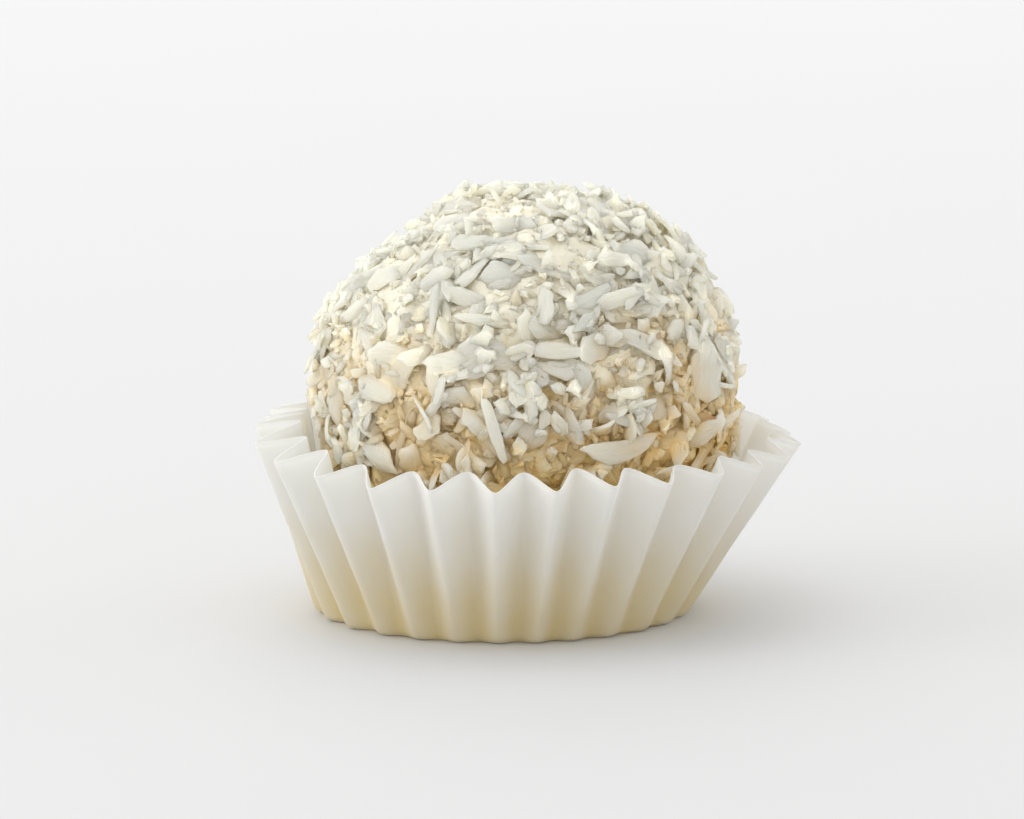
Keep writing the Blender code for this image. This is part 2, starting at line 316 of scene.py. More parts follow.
def keep_number(mesh, name, values):
    """Stores a number, or a vector, at each point of a mesh, for its finish to read."""
    values = np.asarray(values, dtype=np.float32)
    kind, key = ("FLOAT", "value") if values.ndim == 1 else ("FLOAT_VECTOR", "vector")
    mesh.attributes.new(name, kind, "POINT").data.foreach_set(key, values.ravel())


def in_scene(name, data):
    """A new object of a mesh, a light or a camera."""
    made = bpy.data.objects.new(name, data)
    bpy.context.scene.collection.objects.link(made)
    return made


def new_piece(name, mesh, finish, node, sharpest=math.pi):
    """An object that rides on the praline's body and stands for one of its solids."""
    piece = in_scene(name, mesh)
    mesh.materials.clear()
    mesh.materials.append(finish)
    mesh.shade_smooth()
    mesh.set_sharp_from_angle(angle=sharpest)
    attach(piece, BODY)
    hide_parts(node)
    return piece


print("every piece rides on the body", BODY)

# %% [markdown]
# The cup is a profile with a Screw modifier, which turns it about the upright axis. Its points are
# then moved. The mesh also keeps two numbers for each point, which the finish reads: how far up
# the wall it is, and which side of a fold it is on.

# %% Turn the cup and pleat it
WALL_ROWS = 26
CORNER_ROWS = 5
BASE_ROWS_INWARD = (0.45, 0.75, 1.0)
MERGE_DISTANCE = 0.01 * MM
CRUMPLE = 0.09 * MM
CRUMPLE_SIZE = 3.2 * MM
CUT_WAVES = ((0.16 * MM, 4, 0.4), (0.10 * MM, 11, 1.9))


def turned_cup():
    """A straight cup of the case's rows and pleat steps, as a mesh."""
    lengths = list(np.linspace(WALL_LENGTH, CORNER, WALL_ROWS))
    lengths += list(np.linspace(CORNER, -CORNER, CORNER_ROWS + 2)[1:])
    lengths += [FLAT_RADIUS - BASE_RADIUS] + [-share * BASE_RADIUS for share in BASE_ROWS_INWARD]
    profile = [(BASE_RADIUS + min(length, 0.0), 0.0, max(length, 0.0)) for length in lengths]
    mesh = bpy.data.meshes.new("cup_profile")
    mesh.from_pydata(profile, [(i, i + 1) for i in range(len(profile) - 1)], [])
    cup = in_scene("cup_profile", mesh)
    turn = cup.modifiers.new("Turn", "SCREW")
    turn.steps = turn.render_steps = FLUTES * STEPS_PER_FLUTE
    turn.use_merge_vertices = True
    turn.merge_threshold = MERGE_DISTANCE
    evaluated = cup.evaluated_get(bpy.context.evaluated_depsgraph_get())
    turned = bpy.data.meshes.new_from_object(evaluated)
    bpy.data.objects.remove(cup)
    return turned


def pleated_case():
    mesh = turned_cup()
    x, y, z = read_points(mesh).T
    angle = np.arctan2(y, x)
    length = np.where(z > 0, z, np.hypot(x, y) - BASE_RADIUS)
    up_wall = np.clip(length / WALL_LENGTH, 0, 1)
    points = paper_point(angle, length + slow_waves(angle, CUT_WAVES) * up_wall)
    outward = np.stack([np.cos(angle), np.sin(angle), np.zeros_like(angle)], axis=1)
    crumple = [noise.noise(Vector(point) / CRUMPLE_SIZE) for point in points]
    shift = CRUMPLE * np.array(crumple) * up_wall
    write_points(mesh, points + outward * shift[:, None])
    keep_number(mesh, "up_wall", up_wall)
    keep_number(mesh, "fold", pleat(angle))
    return mesh


case_mesh = pleated_case()
print("the case's sheet:", len(case_mesh.vertices), "points")

# %% [markdown]
# Greaseproof paper is not quite opaque. A part of the light that falls on one side leaves on the
# other, so the case glows where it is lit from behind, and it takes on some cream from the
# praline close behind it. An alpha below one would let the eye see sharp shapes through it, which
# such paper never does. A Translucent shader scatters the light on its way through, so the finish
# is a mix of that and a plain matt surface. Towards the base, where the paper touches the sweet,
# its colour is warmer, most of all in the inner folds: in part grease that the paper has taken up,
# and in part painted warm light thrown back from the sweet. The fibres show only as the faintest
# relief.

# %% Paper finish
PAPER_WHITE = colour(252, 252, 250)
# A warm cream for grease in the paper and for painted warm light thrown back from the sweet.
PAPER_GREASE_AND_BOUNCE = colour(242, 223, 170)
PAPER_LIGHT = colour(253, 253, 250)
FIBRE_SCALE = 1 / (0.35 * MM)
COCKLE_SCALE = 1 / (2.6 * MM)
LIGHT_THROUGH = 0.46
GREASE_AND_BOUNCE_BELOW = 0.85
GREASE_AND_BOUNCE_NEAR_BASE = 0.65
GREASE_AND_BOUNCE_IN_FOLDS = 0.35
UNEVEN_WARMTH = 0.35
PAPER_ROUGHNESS = 0.55
PAPER_ROUGHENED = 0.25
PAPER_SHINE = 0.35
RELIEF_OF_FIBRES = 0.5
PAPER_RELIEF = 0.04 * MM


def paper_finish():
    finish = Finish("greaseproof_paper")
    place = finish.place()
    up_wall = finish.attribute("up_wall")
    fibres = finish.noise(place, FIBRE_SCALE)
    cockle = finish.noise(place, COCKLE_SCALE)
    inner_fold = (finish.attribute("fold") * -0.5 + 0.5).step(0.0, 1.0)
    near_base = 1.0 - up_wall.step(0.0, GREASE_AND_BOUNCE_BELOW)
    # Near the base, and more in the inner folds: grease, and painted bounce light from the sweet. The cockle
    # adds uneven tone.
    grease_bounce_and_tone = near_base * (GREASE_AND_BOUNCE_NEAR_BASE + GREASE_AND_BOUNCE_IN_FOLDS * inner_fold) + (cockle - 0.5) * UNEVEN_WARMTH
    relief = fibres * RELIEF_OF_FIBRES + cockle
    surface = finish.node("ShaderNodeBsdfPrincipled", None, {
        "Base Color": finish.blend(grease_bounce_and_tone, PAPER_WHITE, PAPER_GREASE_AND_BOUNCE),
        "Roughness": PAPER_ROUGHNESS + PAPER_ROUGHENED * fibres,
        "Specular IOR Level": PAPER_SHINE,
        "Normal": finish.bump(relief, PAPER_RELIEF),
    })
    return finish.show(finish.light_through(surface, LIGHT_THROUGH, PAPER_LIGHT))


case = new_piece("fluted_paper_case", case_mesh, paper_finish(), "paper_case")
thick = case.modifiers.new("Paper", "SOLIDIFY")
thick.thickness = SHEET_THICKNESS
thick.offset = -1.0
print("paper:", SHEET_THICKNESS / MM, "mm thick")

# %% [markdown]
# ## The coating under the flakes
#
# Under its flakes the ball is a cream coating, crumbly with fine coconut meal. It isn't a true
# ball: it was rolled by hand and has a full shoulder on the right, a flatter one on the left, a
# corner at the top left, and an underside pressed flat where it lies on the paper. A smooth ball
# with a bump texture would look smooth between the flakes and along its outline, so the crumbs
# are made in the mesh, from a fine icosphere whose points are moved by layers of noise, each
# finer than the one before.

# %% Sizes of the ball
CORE_RADIUS = 13.5 * MM
CORE_CENTRE = np.array((1.3, 0.0, 15.0)) * MM
PAPER_SOLID = 0.25 * MM
GAP_OVER_PAPER = 0.3 * MM
UNDERSIDE = PAPER_SOLID + GAP_OVER_PAPER
# The way from the ball's middle to each lump, its height, and how narrow it is.
LUMPS = (
    ((0.64, -0.10, 0.76), 0.75 * MM, 5.0),
    ((0.66, 0.13, 0.74), 0.40 * MM, 25.0),
    ((0.10, 0.17, 0.98), -0.55 * MM, 12.0),
    ((-0.34, 0.16, 0.93), 1.00 * MM, 50.0),
    ((-0.62, 0.14, 0.77), -0.80 * MM, 10.0),
    ((-0.88, 0.08, 0.45), 0.40 * MM, 15.0),
    ((-0.55, -0.20, 0.80), -0.30 * MM, 5.0),
    ((0.95, 0.25, -0.10), 0.30 * MM, 4.0),
    ((-0.15, -0.95, 0.10), 0.30 * MM, 6.0),
    ((-0.20, 0.90, 0.40), 0.45 * MM, 5.0),
    ((0.00, 0.00, -1.00), 1.20 * MM, 5.0),
)


def core_radius(directions):
    """The ball's radius along each of an array of directions, with its lumps."""
    radius = np.full(len(directions), CORE_RADIUS)
    for axis, height, narrowness in LUMPS:
        closeness = directions @ (np.array(axis) / np.linalg.norm(axis))
        radius += height * np.exp(narrowness * (closeness - 1.0))
    return radius


def height_over_core(points):
    offset = points - CORE_CENTRE
    distance = np.linalg.norm(offset, axis=1)
    return distance - core_radius(offset / distance[:, None])


print("width of the bare ball, mm:", round(2 * core_radius(np.eye(3))[1] / MM, 2))

# %% [markdown]
# The sweet is painted palest at its top, a little to the left, where the light comes from, and a
# warmer, darker cream lower down: that is painted light and shade. Lower down, too, less coconut
# has stuck and more of the coating shows. One number, stored with each point of every piece on the
# ball, tells the finishes how low the point lies.

# %% Grow the crumbly coating
CORE_SUBDIVISIONS = 6
# The width of the crumbs in each layer, and their height.
CRUMB_LAYERS = (mm(2.4, 0.40), mm(1.1, 0.42), mm(0.55, 0.24))
COATING_RISE = 0.60 * MM
# The way that the painted light comes from: up, and a little to the left.
PAINTED_LIGHT_WAY = np.array((-0.14, 0.0, 0.99))
PALE_ABOVE = 9.5 * MM
DEEP_BELOW = -5.0 * MM


def lowness(points):
    """0 near the top of the ball, and 1 at the level of the case's rim."""
    height = (points - CORE_CENTRE) @ PAINTED_LIGHT_WAY
    return np.clip((PALE_ABOVE - height) / (PALE_ABOVE - DEEP_BELOW), 0, 1)


def crumbly_coating():
    shape = bmesh.new()
    bmesh.ops.create_icosphere(shape, subdivisions=CORE_SUBDIVISIONS, radius=1.0)
    mesh = bpy.data.meshes.new("coating")
    shape.to_mesh(mesh)
    shape.free()
    directions = read_points(mesh)
    directions /= np.linalg.norm(directions, axis=1)[:, None]
    radius = core_radius(directions) + COATING_RISE
    hollows = np.zeros(len(directions))
    for size, height in CRUMB_LAYERS:
        layer = np.array([noise.noise(Vector(d) * (CORE_RADIUS / size)) for d in directions])
        radius += height * layer
        hollows += layer
    points = CORE_CENTRE + directions * radius[:, None]
    points[:, 2] = np.maximum(points[:, 2], UNDERSIDE)
    write_points(mesh, points)
    keep_number(mesh, "hollow", np.clip(0.5 - hollows, 0, 1))
    keep_number(mesh, "low", lowness(points))
    return mesh


coating_mesh = crumbly_coating()
print("the coating:", len(coating_mesh.polygons), "triangles")

# %% [markdown]
# The coating is cream, and painted darker in its hollows and low on the ball, which is painted
# shade. Light enters it a little way and comes out warmer, which subsurface scattering does.
# Noise breaks its colour up.

# %% Coating finish
COATING_PALE = colour(245, 239, 218)
COATING_DEEP = colour(230, 195, 120)
MEAL_SCALE = 1 / (0.45 * MM)
PATCH_SCALE = 1 / (3.5 * MM)
MEAL_DETAIL = 4.0
SHADE_PAINTED_IN_HOLLOWS = 0.3
SHADE_PAINTED_LOW = 0.7
DEEPER_IN_PATCHES = 0.8
DEEPER_IN_MEAL = 0.6
PALE_TO_DEEP = (0.1, 1.0)
COATING_ROUGHNESS = 0.45
COATING_ROUGHENED = 0.3
CREAM_SCATTER = 0.35
CREAM_REACH = (1.0, 0.8, 0.5)
CREAM_DEPTH = 0.8 * MM
MEAL_RELIEF = 0.25 * MM


def coating_finish():
    finish = Finish("cream_coating")
    place = finish.place()
    meal = finish.noise(place, MEAL_SCALE, MEAL_DETAIL)
    patches = finish.noise(place, PATCH_SCALE)
    # Painted shade: darker in the coating's hollows and low on the ball.
    shade = finish.attribute("hollow") * SHADE_PAINTED_IN_HOLLOWS + finish.attribute("low") * SHADE_PAINTED_LOW
    depth = shade + (patches - 0.5) * DEEPER_IN_PATCHES + (meal - 0.5) * DEEPER_IN_MEAL
    shader = finish.node("ShaderNodeBsdfPrincipled", {"subsurface_method": "RANDOM_WALK"}, {
        "Base Color": finish.blend(depth.step(*PALE_TO_DEEP), COATING_PALE, COATING_DEEP),
        "Roughness": COATING_ROUGHNESS + COATING_ROUGHENED * meal,
        "Subsurface Weight": CREAM_SCATTER,
        "Subsurface Radius": CREAM_REACH,
        "Subsurface Scale": CREAM_DEPTH,
        "Normal": finish.bump(meal, MEAL_RELIEF),
    })
    return finish.show(shader)


coating = new_piece("crumbly_coating", coating_mesh, coating_finish(), "praline")
print("coating on the ball:", coating.name)

# %% [markdown]
# ## A flake of coconut
#
# Coconut is shaved and then dried, so each flake is a thin chip that has curled a little, with a
# twist, broken ends and edges that are never straight. One could sculpt a handful and scatter
# copies, but the eye finds copies quickly. Here one small block is bent anew for each flake: its
# points run from -1 to 1 along, across and up, and a formula gives each its place in the flake.

# %% A block with rounded edges
END_START = 0.95
END_THINNESS = 0.6


def rounded_block(bays, sides):
    """The points and faces of a long block, cut into bays along it, with that many sides round it."""
    turns = 2 * math.pi * (np.arange(sides) + 0.5) / sides
    ring_across = np.sign(np.cos(turns)) * np.sqrt(np.abs(np.cos(turns)))
    ring_up = np.sign(np.sin(turns)) * np.sqrt(np.abs(np.sin(turns)))
    stations = END_START * np.sin(np.linspace(-math.pi / 2, math.pi / 2, bays + 1))
    stations = np.concatenate([[-1.0], stations, [1.0]])
    rows = []
    for station in stations:
        thickness = END_THINNESS if abs(station) == 1.0 else 1.0
        rows.append(np.stack([np.full(sides, station), ring_across, ring_up * thickness], axis=1))
    faces = [tuple(range(sides))[::-1]]
    for row in range(len(rows) - 1):
        for i in range(sides):
            j = (i + 1) % sides
            low, high = row * sides, (row + 1) * sides
            faces.append((low + i, low + j, high + j, high + i))
    last = (len(rows) - 1) * sides
    faces.append(tuple(range(last, last + sides)))
    return np.concatenate(rows), faces


CHIP_BLOCK = rounded_block(9, 10)
FLAKE_BLOCK = rounded_block(4, 10)
CRUMB_BLOCK = rounded_block(3, 8)
MEAL_BLOCK = rounded_block(1, 6)
print("a chip has", len(CHIP_BLOCK[1]), "faces, and a grain of meal", len(MEAL_BLOCK[1]))

# %% [markdown]
# The block is bent in steps: narrowed towards its ends, skewed, curled down at both ends, and
# twisted. These steps are the ones that shaped the chips of the solid model, so the large flakes
# here have its form. Before that the block is broken: each edge is wavy and torn, each end is
# rounded off or blunt and cut aslant, the whole is bowed to one side, its faces are cupped, and
# its underside is raised, since a shaving is only as thick as a fingernail.

# %% Break a block and bend it to a flake
THINNESS = 0.56
EDGE_WAVES = 0.13
EDGE_WAVINESS = (2.0, 6.0)
TORN_EDGE = 0.15
END_SQUARENESS = (4.5, 20.0)
BLUNT_END = 0.34
SLANT_OF_ENDS = 0.32
SIDEWAYS_BOW = 0.50
CUPPING = (-0.35, 0.75)
WAVY_FACE = 0.20
WAVES_ALONG = 4
WAVES_ACROSS = 2
FULL_TURN = 2 * math.pi


def broken_edge(stations, draw):
    """How far one edge of a flake is from its middle line, at each of its stations."""
    waves = EDGE_WAVES * np.sin(draw.uniform(*EDGE_WAVINESS) * stations + draw.uniform(0, FULL_TURN))
    torn = np.array([draw.uniform(-TORN_EDGE, TORN_EDGE) for _ in stations])
    squareness = np.where(stations < 0, draw.uniform(*END_SQUARENESS), draw.uniform(*END_SQUARENESS))
    return (1 + waves + torn) * np.sqrt(np.maximum(1 - np.abs(stations) ** squareness, BLUNT_END))


def wavy_face(along, across, draw):
    """Hills and hollows of a flake's faces."""
    hills = np.sin(WAVES_ALONG * along + draw.uniform(0, FULL_TURN))
    return WAVY_FACE * hills * np.sin(WAVES_ACROSS * across + draw.uniform(0, FULL_TURN))


def broken(block, bow, draw):
    """The block's points made uneven, in a way that is drawn for each flake.

    The bow leaves out its own mean along the block, 1 / 3, so it bends a flake but doesn't shift it.
    """
    along, across, up = block.T
    stations = np.unique(along)
    left, right = broken_edge(stations, draw), broken_edge(stations, draw)
    edge = np.where(across < 0, np.interp(along, stations, left), np.interp(along, stations, right))
    slants = [draw.uniform(-SLANT_OF_ENDS, SLANT_OF_ENDS) for _ in range(2)]
    slant = np.where(along < 0, *slants)
    lifted = 1 - THINNESS * (1 - up) + wavy_face(along, across, draw) - draw.uniform(*CUPPING) * across**2
    return along + slant * across * along**2, across * edge + bow * (along**2 - 1 / 3), lifted


def bent(flake, along, across, up):
    """A flake's points in its own frame, from places in the block that run from -1 to 1."""
    half_width = 0.5 * flake["width"] * (1 - np.where(along < 0, *flake["taper"]) * along**2)
    x = 0.5 * flake["length"] * (along + flake["skew"] * across)
    y = half_width * across
    z = 0.5 * flake["thickness"] * up - flake["curl"] * along**2
    turn = flake["twist"] * along
    return np.stack([x, y * np.cos(turn) - z * np.sin(turn), y * np.sin(turn) + z * np.cos(turn)], axis=1)


print("a chip's block has", len(CHIP_BLOCK[0]), "points")

# %% [markdown]
# ## Where the flakes lie
#
# The sweet is rolled, so its flakes lie nearly flat, each at its own level and tilt, and those at
# the bottom are squeezed between the ball and the paper. Each flake here gets a direction from the
# middle of the ball and a heading along its surface. It is set at that place, lowered where it
# would stick out too far, and laid flatter where it would touch the paper, or else left out.

# %% Seat a flake on the ball
CLEARANCE = 0.3 * MM
CHIP_REACH = 1.9 * MM
TILT_SHARES = (1.0, 0.5, 0.0)
CORNERS = np.array([(along, across, 1.0) for along in (-1.0, 0.0, 1.0) for across in (-1.0, 1.0)])


def room_in_case(points):
    """How far points are from the paper, within the case's inner folds and over its base."""
    x, y, z = points.T
    angle = np.arctan2(y, x)
    lean = flare(angle) - PLEAT_ANGLE * DEEPEST_PLEAT
    fold_radius = BASE_RADIUS - BASE_PLEAT * DEEPEST_PLEAT + z * np.tan(lean)
    beside = fold_radius - PAPER_SOLID / np.cos(lean) - np.hypot(x, y)
    over_rim = z > WALL_LENGTH * np.cos(lean) + CLEARANCE
    return np.minimum(np.where(over_rim, np.inf, beside), z - PAPER_SOLID)


def flake_turn(flake, tilt_share):
    """Lays a flake along its heading on the ball, then tilts and rolls it."""
    outward = flake["direction"]
    side = outward.cross(flake["heading"]).normalized()
    onto_ball = Matrix((side.cross(outward), side, outward)).transposed()
    tilt = Matrix.Rotation(flake["tilt"] * tilt_share, 3, "Y")
    roll = Matrix.Rotation(flake["roll"] * tilt_share, 3, "X")
    return np.array(onto_ball @ tilt @ roll)


def seat(flake):
    """The turn and place of a flake that keeps clear of the paper, or None where it can't."""
    corners = bent(flake, *CORNERS.T)
    outward = np.array(flake["direction"])
    surface = CORE_CENTRE + outward * core_radius(outward[None])
    for tilt_share in TILT_SHARES:
        turn = flake_turn(flake, tilt_share)
        top = height_over_core(surface + corners @ turn.T).max()
        place = surface + outward * min(flake["level"], CHIP_REACH - top)
        if room_in_case(place + corners @ turn.T).min() > CLEARANCE:
            return turn, place
    return None


print("a flake's corners keep", round(CLEARANCE / MM, 2), "mm from the solid's paper")

# %% [markdown]
# What the flakes are like is a table: each kind has a range for its length, width and so on, and
# every flake draws its own values from them. A seeded generator makes the same draws each time.
# Slimness is the most that the width may be of the length, taper is what the ends lose of the
# width, and level is how high a flake's middle lies over the ball.

# %% Draw a flake of a kind
STEEPEST_TILT = 38.0


def flake_kind(**values):
    """What a kind of flake is like, from sizes in mm and angles in degrees."""
    kind = {"steepest": STEEPEST_TILT, **values}
    for name in ("length", "width", "thickness", "curl", "level"):
        kind[name] = mm(*kind[name])
    for name in ("twist", "tilt", "steepest"):
        kind[name] = math.radians(kind[name])
    return kind


LARGE_CHIPS = flake_kind(
    length=(2.6, 4.8), width=(1.3, 2.4), thickness=(0.50, 0.80), slimness=0.75,
    taper=(0.10, 0.50), skew=0.22, curl=(0.0, 0.40), twist=14.0,
    level=(0.20, 0.90), tilt=15.0,
)


def random_vector(draw):
    return Vector((draw.gauss(0.0, 1.0), draw.gauss(0.0, 1.0), draw.gauss(0.0, 1.0)))


def draw_flake(kind, direction, heading, length, width, draw):
    """One flake: where it is, how long and wide it is, and its own uneven shape."""
    steepest = kind["steepest"]
    return {
        "direction": direction,
        "heading": heading,
        "length": length,
        "width": width,
        "thickness": draw.uniform(*kind["thickness"]),
        "taper": (draw.uniform(*kind["taper"]), draw.uniform(*kind["taper"])),
        "skew": draw.uniform(-kind["skew"], kind["skew"]),
        "curl": draw.uniform(*kind["curl"]),
        "twist": draw.gauss(0.0, kind["twist"]),
        "tilt": max(-steepest, min(draw.gauss(0.0, kind["tilt"]), steepest)),
        "roll": draw.gauss(0.0, kind["tilt"]),
        "level": draw.uniform(*kind["level"]),
    }


print("a flake tilts by up to", STEEPEST_TILT, "degrees, unless its kind stands on edge")

# %% [markdown]
# Random places would leave holes and heaps. A spiral that turns by the golden angle at each step
# covers a ball evenly, as the seeds of a sunflower do, and a little scatter then hides its rows.

# %% Spread flakes over the ball
SPIRAL_END = -0.72
SPIRAL_SCATTER = 0.09
GOLDEN_TURN = math.pi * (3.0 - math.sqrt(5.0))


def spiral_direction(index, count, draw):
    """Directions spread evenly over the ball, from its top downwards, and a little scattered."""
    height = 1.0 + (SPIRAL_END - 1.0) * (index + 0.5) / count
    ring = math.sqrt(1.0 - height * height)
    turn = GOLDEN_TURN * index
    even = Vector((ring * math.cos(turn), ring * math.sin(turn), height))
    return (even + SPIRAL_SCATTER * random_vector(draw)).normalized()


def scattered(kind, count, draw):
    """Flakes of a kind along the spiral, each with its direction, heading and shape."""
    flakes = []
    for index in range(count):
        direction = spiral_direction(index, count, draw)
        length = draw.uniform(*kind["length"])
        width = min(draw.uniform(*kind["width"]), kind["slimness"] * length)
        flakes.append(draw_flake(kind, direction, random_vector(draw), length, width, draw))
    return flakes


print("each step of the spiral turns", round(math.degrees(GOLDEN_TURN), 1), "degrees")

# %% [markdown]
# The chips that show best, at the front, are placed one by one, from the photo: how far each is to
# the right of the ball's middle and above it, how it is turned, in degrees, and its length and
# width, in mm as the places are.

# %% Chips at the front
FRONT_ELEVATION = math.radians(10.0)
FRONT_CHIPS = (
    (-9.9, 0.4, -15, 3.7, 1.8),
    (-6.8, 2.7, 25, 3.1, 1.3),
    (-2.7, 2.5, 20, 3.7, 3.0),
    (-10.7, 4.0, -38, 3.1, 1.3),
    (-4.5, -0.3, -10, 3.0, 1.6),
    (-1.2, -1.2, 38, 3.3, 1.4),
    (-3.1, -1.8, -40, 2.3, 1.4),
    (-1.9, -3.6, -60, 2.6, 1.6),
    (-6.2, -2.2, 30, 2.1, 1.4),
    (-9.5, -4.0, -50, 2.8, 1.9),
    (-12.7, -0.9, -60, 2.8, 1.6),
    (6.6, -3.5, 3, 5.9, 1.5),
    (3.3, -2.1, -65, 2.6, 1.1),
    (2.3, 2.9, 0, 3.2, 1.2),
    (4.8, 3.2, 20, 2.6, 1.9),
    (3.9, 0.6, -70, 2.8, 1.6),
    (9.1, -0.5, -50, 2.8, 2.1),
    (12.2, 1.4, 60, 4.0, 3.0),
    (12.2, -2.4, 8, 4.0, 1.4),
    (9.7, 2.0, -80, 2.6, 1.9),
    (7.9, 5.9, 15, 3.7, 2.1),
    (4.6, 6.4, 35, 3.5, 1.4),
    (7.4, 9.4, 0, 2.3, 1.9),
    (9.6, 10.4, -50, 4.0, 2.6),
    (12.0, 7.3, -60, 3.0, 2.1),
    (5.6, 12.4, 70, 3.0, 2.6),
    (1.0, 10.9, 8, 3.3, 1.4),
    (3.5, 5.0, 15, 2.6, 1.2),
    (1.5, 5.9, 85, 2.8, 1.2),
    (-5.0, 12.2, 60, 3.0, 2.3),
    (-3.3, 10.4, -18, 3.3, 1.3),
    (-5.8, 7.9, 5, 2.6, 1.3),
    (-9.6, 8.1, -15, 3.0, 1.6),
    (-3.8, 6.5, -40, 2.8, 1.6),
    (-7.7, 5.4, -20, 2.6, 1.4),
    (-5.8, 9.8, -5, 3.0, 1.9),
    (-1.5, 8.1, 10, 2.8, 2.1),
    (0.5, 1.3, -25, 2.8, 1.6),
    (0.7, -2.7, 60, 2.3, 1.9),
)


def from_the_front(x, y, z):
    """Turns a direction seen by someone who looks down at the front into the ball's own frame."""
    return Matrix.Rotation(-FRONT_ELEVATION, 3, "X") @ Vector((x, y, z))


def front_direction(right, up):
    """The way from the ball's middle to a point of its front or of its outline, seen from there."""
    x = right * MM / (CORE_RADIUS + LARGE_CHIPS["level"][1])
    z = up * MM / (CORE_RADIUS + LARGE_CHIPS["level"][1])
    return from_the_front(x, -math.sqrt(max(1.0 - x * x - z * z, 0.0)), z).normalized()


def front_flakes(kind, rows, draw):
    """Flakes of a kind at the front, from rows of right, up, turn, length and width."""
    flakes = []
    for right, up, turn, length, width in rows:
        heading = from_the_front(math.cos(math.radians(turn)), 0.0, math.sin(math.radians(turn)))
        place = front_direction(right, up)
        flakes.append(draw_flake(kind, place, heading, length * MM, width * MM, draw))
    return flakes


print("chips placed one by one:", len(FRONT_CHIPS))

# %% [markdown]
# The other large chips follow the spiral, but keep their distance from those. The longest one at
# the front lies on top of all the others and is bent to a crescent.

# %% The large chips
CHIP_SEED = 11
SPIRAL_CHIPS = 210
CHIP_SPACING = 0.14
FRONT_RISE = 0.3 * MM
CRESCENT_BOW = 0.9
CRESCENT_RISE = 0.5 * MM


def large_chips(draw):
    """Those at the front lie on top of their smaller neighbours, and the rest among them."""
    chips = front_flakes(LARGE_CHIPS, FRONT_CHIPS, draw)
    for chip in chips:
        chip["level"] += FRONT_RISE
    crescent = max(chips, key=lambda chip: chip["length"])
    crescent["bow"] = CRESCENT_BOW
    crescent["level"] += CRESCENT_RISE
    placed = [chip["direction"] for chip in chips]
    for chip in scattered(LARGE_CHIPS, SPIRAL_CHIPS, draw):
        if all((chip["direction"] - other).length > CHIP_SPACING for other in placed):
            chips.append(chip)
    return chips


chips = large_chips(random.Random(CHIP_SEED))
print("large chips:", len(chips))

# %% [markdown]
# Thousands of small objects would make the scene slow, so all flakes of a kind are joined in one
# mesh. The mesh also holds five things for the finish. Each flake has its tone, from cream to
# white. Each point has its grain, which is its place in the flake before that was laid on the
# ball, so a pattern that follows the grain turns with the flake, as its fibres do. A jump by the
# tone gives each flake its own part of that pattern. The others are how near the flake's edge a
# point is, how proud of the ball it stands, and how low on it.

# %% Join the flakes of a kind
GRAIN_JUMP = 700 * MM
BROKEN_EDGE = math.radians(50.0)


def joined_flakes(name, flakes, tone_range, block, draw):
    """One mesh of all the flakes that find a seat on the ball, each with a tone from that range."""
    block_points, block_faces = block
    size = len(block_points)
    laid, faces, tones, grains = [], [], [], []
    for flake in flakes:
        tone = draw.uniform(*tone_range) + flake.get("whiteness", 0.0)
        bow = flake.get("bow", draw.uniform(-SIDEWAYS_BOW, SIDEWAYS_BOW))
        seated = seat(flake)
        if seated is None:
            continue
        turn, place = seated
        shape = bent(flake, *broken(block_points, bow, draw))
        start = len(laid) * size
        laid.append(place + shape @ turn.T)
        faces += [tuple(start + corner for corner in face) for face in block_faces]
        tones.append(np.full(size, tone))
        grains.append(shape + np.array((0.0, GRAIN_JUMP, 0.0)) * tone)
    points = np.concatenate(laid)
    mesh = bpy.data.meshes.new(name)
    mesh.from_pydata(points.tolist(), [], faces)
    keep_number(mesh, "tone", np.concatenate(tones))
    keep_number(mesh, "grain", np.concatenate(grains))
    keep_number(mesh, "edge", np.tile(np.abs(block_points[:, :2]).max(axis=1), len(laid)))
    keep_number(mesh, "proud", height_over_core(points) / CHIP_REACH)
    keep_number(mesh, "low", lowness(points))
    nearest = room_in_case(points).min() / MM
    print(name, "has", len(laid), "flakes, and the nearest to the paper is", round(nearest, 2), "mm off")
    return mesh


print("a flake's edge is sharp where it turns by over", round(math.degrees(BROKEN_EDGE)), "degrees")

# %% [markdown]
# Dried coconut is ivory to white and lets light in, so a flake's shaded side is never grey. The
# random walk method of subsurface scattering follows light inside a closed shape, so it leaves dark
# seams where flakes cross in one mesh. The Christensen-Burley method only averages the light over
# the surface nearby, which suits a heap of crossing flakes. A little Translucent shader lets light
# through the thin ones. Along the flake run fine fibres, drawn by noise that is stretched along the
# grain. A flake's thin edge glows, and that glow is painted: its broken edges are painted whitest.
# Where a flake is sunk in the coating it has taken up its cream, and more so low on the ball; the
# same warm colour is also painted shade, and that is what makes the gaps between the flakes warm
# and not grey. Low on the ball the flakes are painted creamier, as painted shade, and at the top
# whiter, as painted light.

# %% Coconut finish
COCONUT_WHITE = colour(240, 241, 234)
COCONUT_IVORY = colour(239, 235, 217)
COCONUT_CREAM = colour(236, 222, 185)
PAINTED_EDGE_GLOW = colour(243, 244, 239)
SOAK_AND_SHADE_PALE = colour(245, 241, 225)
SOAK_AND_SHADE_DEEP = colour(236, 202, 127)
FLESH_SCATTER = 0.95
FLESH_REACH = (1.0, 0.94, 0.78)
FLESH_DEPTH = 1.4 * MM
FLESH_LIGHT = colour(253, 246, 219)
FLESH_THROUGH = 0.30
FIBRES_ACROSS = 1 / (0.18 * MM)
FIBRE_DRAW = 0.12
FIBRE_RELIEF = 0.12 * MM
FLESH_ROUGHNESS = 0.38
FLESH_ROUGHENED = 0.3
FLESH_IOR = 1.42
STAIN_SCALE = 1 / (1.6 * MM)
STAINED = 0.6
CREAM_TO_IVORY = (0.0, 0.45)
IVORY_TO_WHITE = (0.25, 0.95)
WHITER_HIGH = 0.35
CREAMIER_AND_SHADED_LOW = 0.65
SOAK_AND_SHADE_TO_DRY = (0.10, 0.62)
UNEVEN_SOAK_AND_SHADE = 0.3
SOAK_AND_SHADE_LOW = 0.32
EDGE_FROM = 0.70
EDGE_GLOW_SHARE = 0.7
EDGE_TONES = (0.0, 0.5)


